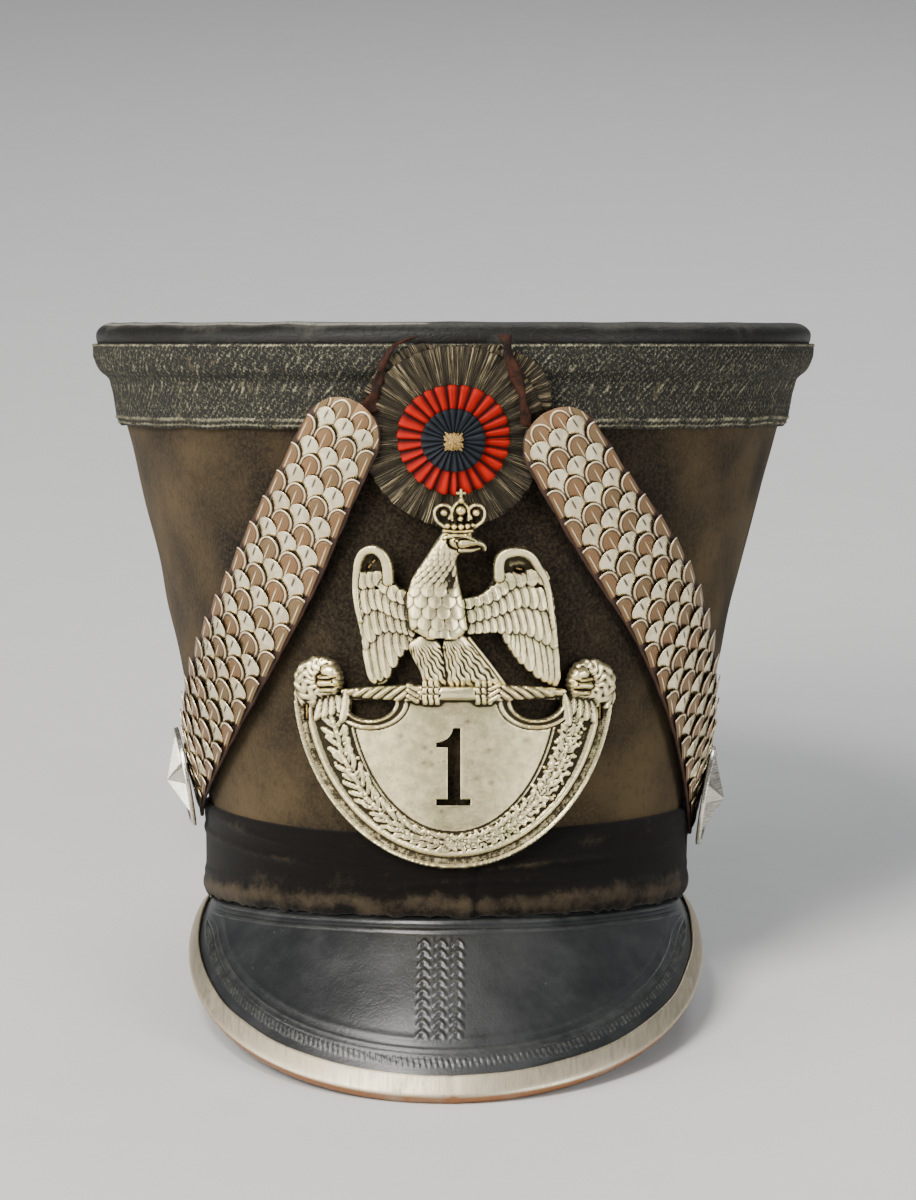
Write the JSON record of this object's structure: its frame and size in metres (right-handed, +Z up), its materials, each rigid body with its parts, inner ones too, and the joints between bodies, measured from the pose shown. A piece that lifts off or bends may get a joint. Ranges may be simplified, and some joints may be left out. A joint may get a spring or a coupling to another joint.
{
  "type": "shako hat",
  "caption": "Flaring felt military shako with leather top and peak, woven galloon, stamped front plate, pleated cockade and scaled chin strap fastened up.",
  "frame": {"origin": "on the surface that the hat rests on, under the middle of its bounding box", "axes": "+Z up, the front of the hat looks along -Y, +X is to the right of someone facing it. The hat rests by itself on the edge of its peak and the back of its rim, so its own axis leans 13.7 degrees back towards +Y"},
  "size_m": [0.248, 0.3138, 0.2411],
  "materials": {
    "felt": "faded black-brown felt",
    "crown_leather": "waxed, worn at the edge",
    "galloon": "woven, dusty blue-black",
    "band_cloth": "worn black velvet",
    "peak_leather": "blackened, satin, embossed",
    "rim_metal": "silvered, scratched",
    "plate_metal": "silvered, patina in the recesses",
    "scale_metal": "silvered brass, copper showing",
    "boss_metal": "silvered, faceted",
    "strap_leather": "old red-brown",
    "cockade_grey": "pleated, soiled white",
    "cockade_red": "pleated red",
    "cockade_blue": "pleated navy",
    "cockade_thread": "gold thread",
    "ribbon": "dark brown ribbon"
  },
  "bodies": {
    "root": {"crown_body": "felt", "crown_top": "crown_leather", "top_galloon": "galloon", "head_band": "band_cloth", "peak": "peak_leather", "peak_rim": "rim_metal", "front_plate": "plate_metal", "chin_strap_left": "strap_leather", "chin_strap_right": "strap_leather", "chin_scales_left": "scale_metal", "chin_scales_right": "scale_metal", "boss_left": "boss_metal", "boss_right": "boss_metal", "cockade_back": "cockade_grey", "cockade_pleats": "cockade_grey", "cockade_red": "cockade_red", "cockade_blue": "cockade_blue", "cockade_knot": "cockade_thread", "tie_ribbon_left": "ribbon", "tie_ribbon_right": "ribbon"}
  },
  "joints": []
}
